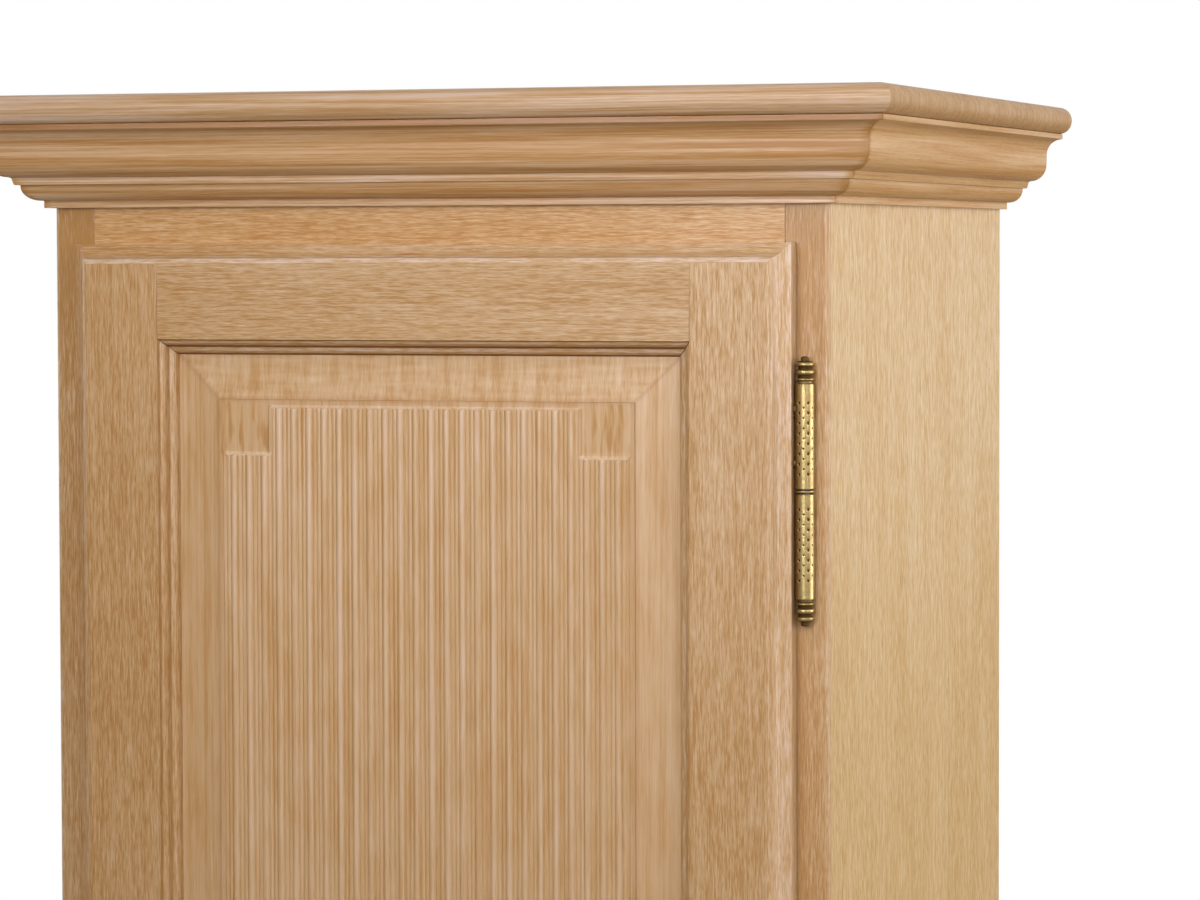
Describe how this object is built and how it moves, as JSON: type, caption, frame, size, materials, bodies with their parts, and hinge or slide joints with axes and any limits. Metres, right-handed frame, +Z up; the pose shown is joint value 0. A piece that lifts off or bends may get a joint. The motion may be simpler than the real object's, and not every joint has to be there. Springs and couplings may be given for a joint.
{
  "type": "highboard",
  "caption": "Tall wooden cupboard with a framed, reeded panel door on pin hinges, a moulded cornice, a plinth, loose shelves on pins and a box lock with its key.",
  "frame": {"origin": "middle of the bounding box, on the floor", "axes": "+Z up, the front and the door face -Y, the door hangs on the +X side"},
  "size_m": [0.6, 0.4994, 1.3],
  "materials": {
    "side_wood": "oiled oak, upright grain",
    "front_wood": "oiled oak",
    "panel_wood": "oiled fine-grained wood",
    "cornice_wood": "oiled fine-grained wood",
    "inner_wood": "plain planed wood",
    "antique_brass": "darkened brass, satin",
    "steel": "plain drawn steel"
  },
  "bodies": {
    "carcass": {"side_left": "side_wood", "side_right": "side_wood", "rail_top": "front_wood", "rail_bottom": "front_wood", "floor_board": "inner_wood", "ceiling_board": "inner_wood", "back_panel": "inner_wood", "top_board": "cornice_wood", "cornice_front": "cornice_wood", "cornice_left": "cornice_wood", "cornice_right": "cornice_wood", "plinth_front": "cornice_wood", "plinth_left": "cornice_wood", "plinth_right": "cornice_wood", "shelf_1": "inner_wood", "shelf_2": "inner_wood", "shelf_3": "inner_wood", "shelf_pin_1_front_left": "steel", "shelf_pin_1_front_right": "steel", "shelf_pin_1_rear_left": "steel", "shelf_pin_1_rear_right": "steel", "shelf_pin_2_front_left": "steel", "shelf_pin_2_front_right": "steel", "shelf_pin_2_rear_left": "steel", "shelf_pin_2_rear_right": "steel", "shelf_pin_3_front_left": "steel", "shelf_pin_3_front_right": "steel", "shelf_pin_3_rear_left": "steel", "shelf_pin_3_rear_right": "steel", "hinge_upper_frame_half": "antique_brass", "hinge_upper_pin": "steel", "hinge_upper_ring": "antique_brass", "hinge_upper_finial_low": "antique_brass", "hinge_lower_frame_half": "antique_brass", "hinge_lower_pin": "steel", "hinge_lower_ring": "antique_brass", "hinge_lower_finial_low": "antique_brass", "lock_strike": "antique_brass", "strike_screw_1": "antique_brass", "strike_screw_2": "antique_brass"},
    "door": {"door_stile_lock_side": "front_wood", "door_stile_hinge_side": "front_wood", "door_rail_top": "front_wood", "door_rail_bottom": "front_wood", "door_panel": "panel_wood", "hinge_upper_door_half": "antique_brass", "hinge_upper_finial_high": "antique_brass", "hinge_lower_door_half": "antique_brass", "hinge_lower_finial_high": "antique_brass", "lock_case": "steel", "lock_screw_1": "steel", "lock_screw_2": "steel", "lock_screw_3": "steel", "lock_screw_4": "steel", "escutcheon": "antique_brass", "escutcheon_tack_1": "antique_brass", "escutcheon_tack_2": "antique_brass"},
    "key": {"key": "antique_brass"},
    "lock_bolt": {"lock_bolt": "steel"}
  },
  "joints": [
    {"name": "door_swing", "type": "hinge", "parent": "carcass", "child": "door", "pos_m": [0.2365, -0.19625, 0.66085], "axis": [0, 0, 1], "range_deg": [0, 135]},
    {"name": "key_turn", "type": "hinge", "parent": "door", "child": "key", "pos_m": [-0.195, -0.22665, 0.66085], "axis": [0, -1, 0], "range_deg": [0, 360]},
    {"name": "bolt_slide", "type": "slide", "parent": "door", "child": "lock_bolt", "axis": [-1, 0, 0], "range_m": [0, 0.008]}
  ],
  "couplings": [
    {"joint": "key_turn", "follows": "bolt_slide", "rad_per_m": 785.4}
  ]
}
